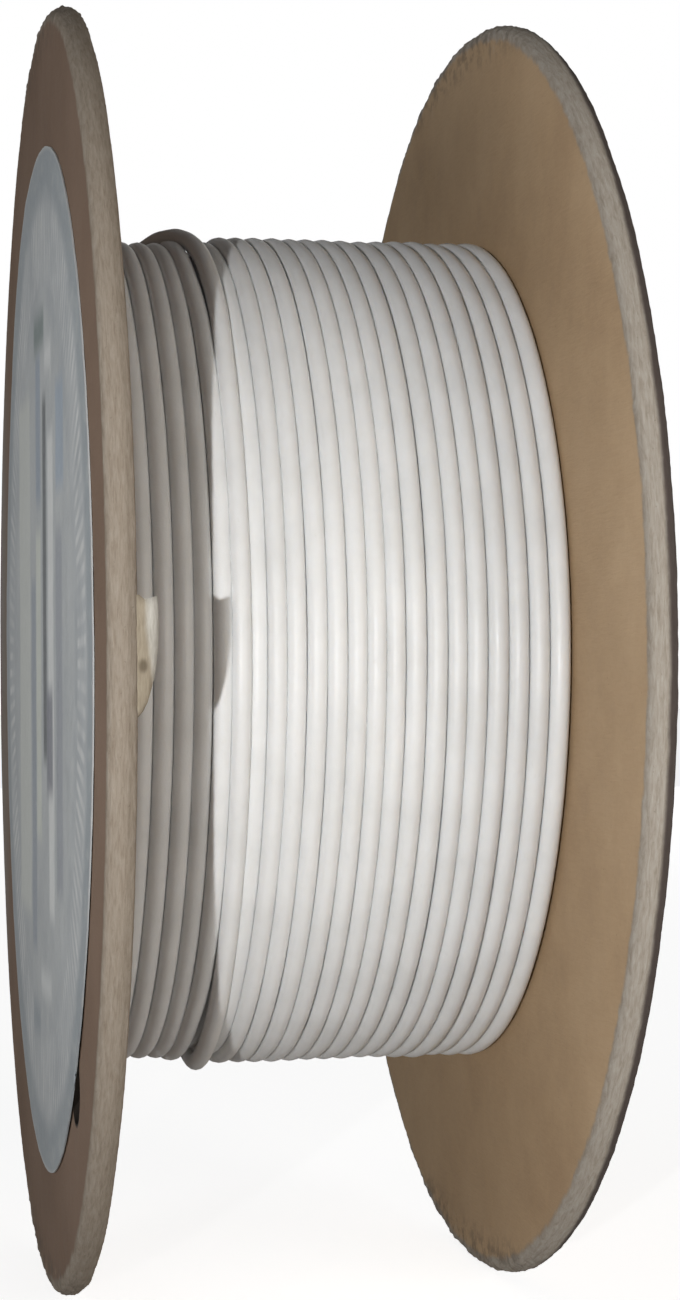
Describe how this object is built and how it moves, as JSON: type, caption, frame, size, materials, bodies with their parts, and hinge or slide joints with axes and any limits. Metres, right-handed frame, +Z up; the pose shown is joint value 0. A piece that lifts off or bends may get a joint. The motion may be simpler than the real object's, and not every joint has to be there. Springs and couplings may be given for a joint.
{
  "type": "wire spool",
  "caption": "Fibreboard spool with two round flanges on a paper core tube, full of white insulated wire, with a round label on one flange.",
  "frame": {"origin": "under the middle of the spool, on the surface that its flange rims stand on", "axes": "X along the spool's own axis, the labelled flange at -X; +Z up; -Y the front, where the wire's loose end comes down over the turns"},
  "size_m": [0.047, 0.127, 0.1269],
  "materials": {
    "fibreboard": "matte",
    "core_paper": "matte",
    "label_paper": "satin",
    "white_insulation": "satin",
    "bare_copper": "satin"
  },
  "bodies": {
    "root": {"left_flange": "fibreboard", "right_flange": "fibreboard", "core_tube": "core_paper", "label": "label_paper", "wire_winding": "white_insulation", "wire_end": "white_insulation", "wire_conductor": "bare_copper"}
  },
  "joints": []
}
